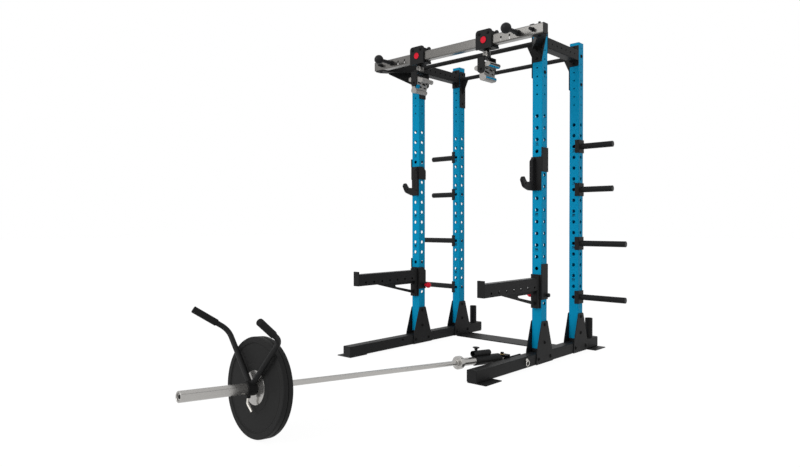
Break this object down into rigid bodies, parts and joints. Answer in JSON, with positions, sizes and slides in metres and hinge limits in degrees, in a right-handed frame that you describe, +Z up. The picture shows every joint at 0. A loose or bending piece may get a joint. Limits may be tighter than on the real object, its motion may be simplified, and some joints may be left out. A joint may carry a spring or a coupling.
{
  "type": "power cage",
  "caption": "Power cage with perforated uprights, pull-up bars, sliding swivel grips, J-hooks, spotter arms, storage pegs and a landmine that holds a loaded barbell.",
  "frame": {"origin": "underside of the floor crossmember at its centre, between the rear uprights, on the floor", "axes": "+Z up, -Y towards the lifter and along the landmine barbell, X across the rack"},
  "size_m": [1.8716, 3.4021, 2.298],
  "materials": {
    "blue_steel": "satin powder coat, blue",
    "black_steel": "matt black powder coat",
    "grey_steel": "brushed grey steel",
    "grip_alloy": "satin aluminium",
    "chrome": "polished hard chrome",
    "rubber": "black rubber",
    "plastic": "black plastic",
    "red_plastic": "red plastic"
  },
  "bodies": {
    "frame": {"upright_front_left": "blue_steel", "upright_front_right": "blue_steel", "upright_rear_left": "blue_steel", "upright_rear_right": "blue_steel", "base_runner_left": "black_steel", "base_runner_right": "black_steel", "floor_crossmember": "black_steel", "gusset_outer_front_left": "black_steel", "gusset_inner_front_left": "black_steel", "gusset_outer_front_right": "black_steel", "gusset_inner_front_right": "black_steel", "gusset_outer_rear_left": "black_steel", "gusset_inner_rear_left": "black_steel", "gusset_outer_rear_right": "black_steel", "gusset_inner_rear_right": "black_steel", "top_side_beam_left": "black_steel", "top_side_beam_right": "black_steel", "pull_up_bar_front": "black_steel", "pull_up_bar_rear": "black_steel", "front_beam": "grey_steel", "beam_cap_left": "plastic", "beam_cap_right": "plastic", "beam_bracket_left": "black_steel", "beam_bracket_right": "black_steel", "ball_grip_left": "plastic", "ball_grip_right": "plastic", "storage_peg_left_1": "black_steel", "storage_peg_left_2": "black_steel", "storage_peg_left_3": "black_steel", "storage_peg_left_4": "black_steel", "storage_peg_right_1": "black_steel", "storage_peg_right_2": "black_steel", "storage_peg_right_3": "black_steel", "storage_peg_right_4": "black_steel", "landmine_bracket": "black_steel"},
    "carriage_left": {"carriage_left": "black_steel"},
    "lock_button_left": {"lock_button_left": "red_plastic"},
    "swivel_fork_left": {"swivel_fork_left": "grey_steel"},
    "grip_yoke_left": {"grip_yoke_left": "black_steel"},
    "grip_block_left": {"grip_block_left": "grip_alloy"},
    "carriage_right": {"carriage_right": "black_steel"},
    "lock_button_right": {"lock_button_right": "red_plastic"},
    "swivel_fork_right": {"swivel_fork_right": "grey_steel"},
    "grip_yoke_right": {"grip_yoke_right": "black_steel"},
    "grip_block_right": {"grip_block_right": "grip_alloy"},
    "j_hook_left": {"j_hook_left": "black_steel"},
    "j_hook_right": {"j_hook_right": "black_steel"},
    "spotter_arm_left": {"spotter_arm_left": "black_steel"},
    "arm_lock_pin_left": {"arm_lock_pin_left": "red_plastic"},
    "spotter_arm_right": {"spotter_arm_right": "black_steel"},
    "arm_lock_pin_right": {"arm_lock_pin_right": "red_plastic"},
    "landmine_swivel": {"landmine_swivel": "black_steel"},
    "landmine_tube": {"landmine_tube": "black_steel"},
    "landmine_knob": {"landmine_knob": "plastic"},
    "landmine_lock_ring": {"landmine_lock_ring": "chrome"},
    "barbell_bar": {"barbell_bar": "chrome"},
    "loaded_sleeve": {"barbell_outer_sleeve": "chrome", "bumper_plate_inner": "rubber", "bumper_plate_outer": "rubber", "landmine_handle": "black_steel"}
  },
  "joints": [
    {"name": "carriage_slide_left", "type": "slide", "parent": "frame", "child": "carriage_left", "axis": [1, 0, 0], "range_m": [-0.16, 0.2]},
    {"name": "lock_button_press_left", "type": "slide", "parent": "carriage_left", "child": "lock_button_left", "axis": [0, 1, 0], "range_m": [0, 0.002], "stiffness_N_per_m": 900},
    {"name": "fork_swing_left", "type": "hinge", "parent": "carriage_left", "child": "swivel_fork_left", "pos_m": [-0.3, -0.8115, 2.123], "axis": [0, 1, 0], "range_deg": [-30, 30]},
    {"name": "yoke_swivel_left", "type": "hinge", "parent": "swivel_fork_left", "child": "grip_yoke_left", "pos_m": [-0.3, -0.8115, 2.08], "axis": [0, 0, 1], "continuous": true},
    {"name": "grip_turn_left", "type": "hinge", "parent": "grip_yoke_left", "child": "grip_block_left", "pos_m": [-0.3, -0.8115, 1.9987], "axis": [0, 1, 0], "continuous": true},
    {"name": "carriage_slide_right", "type": "slide", "parent": "frame", "child": "carriage_right", "axis": [1, 0, 0], "range_m": [-0.2, 0.16]},
    {"name": "lock_button_press_right", "type": "slide", "parent": "carriage_right", "child": "lock_button_right", "axis": [0, 1, 0], "range_m": [0, 0.002], "stiffness_N_per_m": 900},
    {"name": "fork_swing_right", "type": "hinge", "parent": "carriage_right", "child": "swivel_fork_right", "pos_m": [0.3, -0.8115, 2.123], "axis": [0, 1, 0], "range_deg": [-30, 30]},
    {"name": "yoke_swivel_right", "type": "hinge", "parent": "swivel_fork_right", "child": "grip_yoke_right", "pos_m": [0.3, -0.8115, 2.08], "axis": [0, 0, 1], "continuous": true},
    {"name": "grip_turn_right", "type": "hinge", "parent": "grip_yoke_right", "child": "grip_block_right", "pos_m": [0.3, -0.8115, 1.9987], "axis": [0, 1, 0], "continuous": true},
    {"name": "j_hook_tilt_left", "type": "hinge", "parent": "frame", "child": "j_hook_left", "pos_m": [-0.551, -0.54, 1.452], "axis": [-1, 0, 0], "range_deg": [0, 70]},
    {"name": "j_hook_tilt_right", "type": "hinge", "parent": "frame", "child": "j_hook_right", "pos_m": [0.551, -0.54, 1.452], "axis": [-1, 0, 0], "range_deg": [0, 70]},
    {"name": "spotter_arm_tilt_left", "type": "hinge", "parent": "frame", "child": "spotter_arm_left", "pos_m": [-0.551, -0.54, 0.652], "axis": [-1, 0, 0], "range_deg": [0, 60]},
    {"name": "arm_lock_pull_left", "type": "slide", "parent": "spotter_arm_left", "child": "arm_lock_pin_left", "axis": [1, 0, 0], "range_m": [0, 0.012], "stiffness_N_per_m": 500},
    {"name": "spotter_arm_tilt_right", "type": "hinge", "parent": "frame", "child": "spotter_arm_right", "pos_m": [0.551, -0.54, 0.652], "axis": [-1, 0, 0], "range_deg": [0, 60]},
    {"name": "arm_lock_pull_right", "type": "slide", "parent": "spotter_arm_right", "child": "arm_lock_pin_right", "axis": [-1, 0, 0], "range_m": [0, 0.012], "stiffness_N_per_m": 500},
    {"name": "landmine_yaw", "type": "hinge", "parent": "frame", "child": "landmine_swivel", "pos_m": [0.47, -0.875, 0.079], "axis": [0, 0, -1], "range_deg": [-1, 60]},
    {"name": "landmine_tilt", "type": "hinge", "parent": "landmine_swivel", "child": "landmine_tube", "pos_m": [0.46926, -0.90099, 0.079], "axis": [-0.9996, 0.0284, 0], "range_deg": [0, 45]},
    {"name": "landmine_knob_pull", "type": "slide", "parent": "landmine_tube", "child": "landmine_knob", "axis": [0.0023, 0.0796, 0.9968], "range_m": [0, 0.008], "stiffness_N_per_m": 400},
    {"name": "lock_ring_pull", "type": "slide", "parent": "frame", "child": "landmine_lock_ring", "axis": [1, 0, 0], "range_m": [0, 0.1]},
    {"name": "bar_spin", "type": "hinge", "parent": "landmine_tube", "child": "barbell_bar", "pos_m": [0.46433, -1.07437, 0.09286], "axis": [-0.0284, -0.9964, 0.0797], "continuous": true},
    {"name": "sleeve_spin", "type": "hinge", "parent": "barbell_bar", "child": "loaded_sleeve", "pos_m": [0.41754, -2.71846, 0.22429], "axis": [-0.0284, -0.9964, 0.0797], "continuous": true}
  ]
}
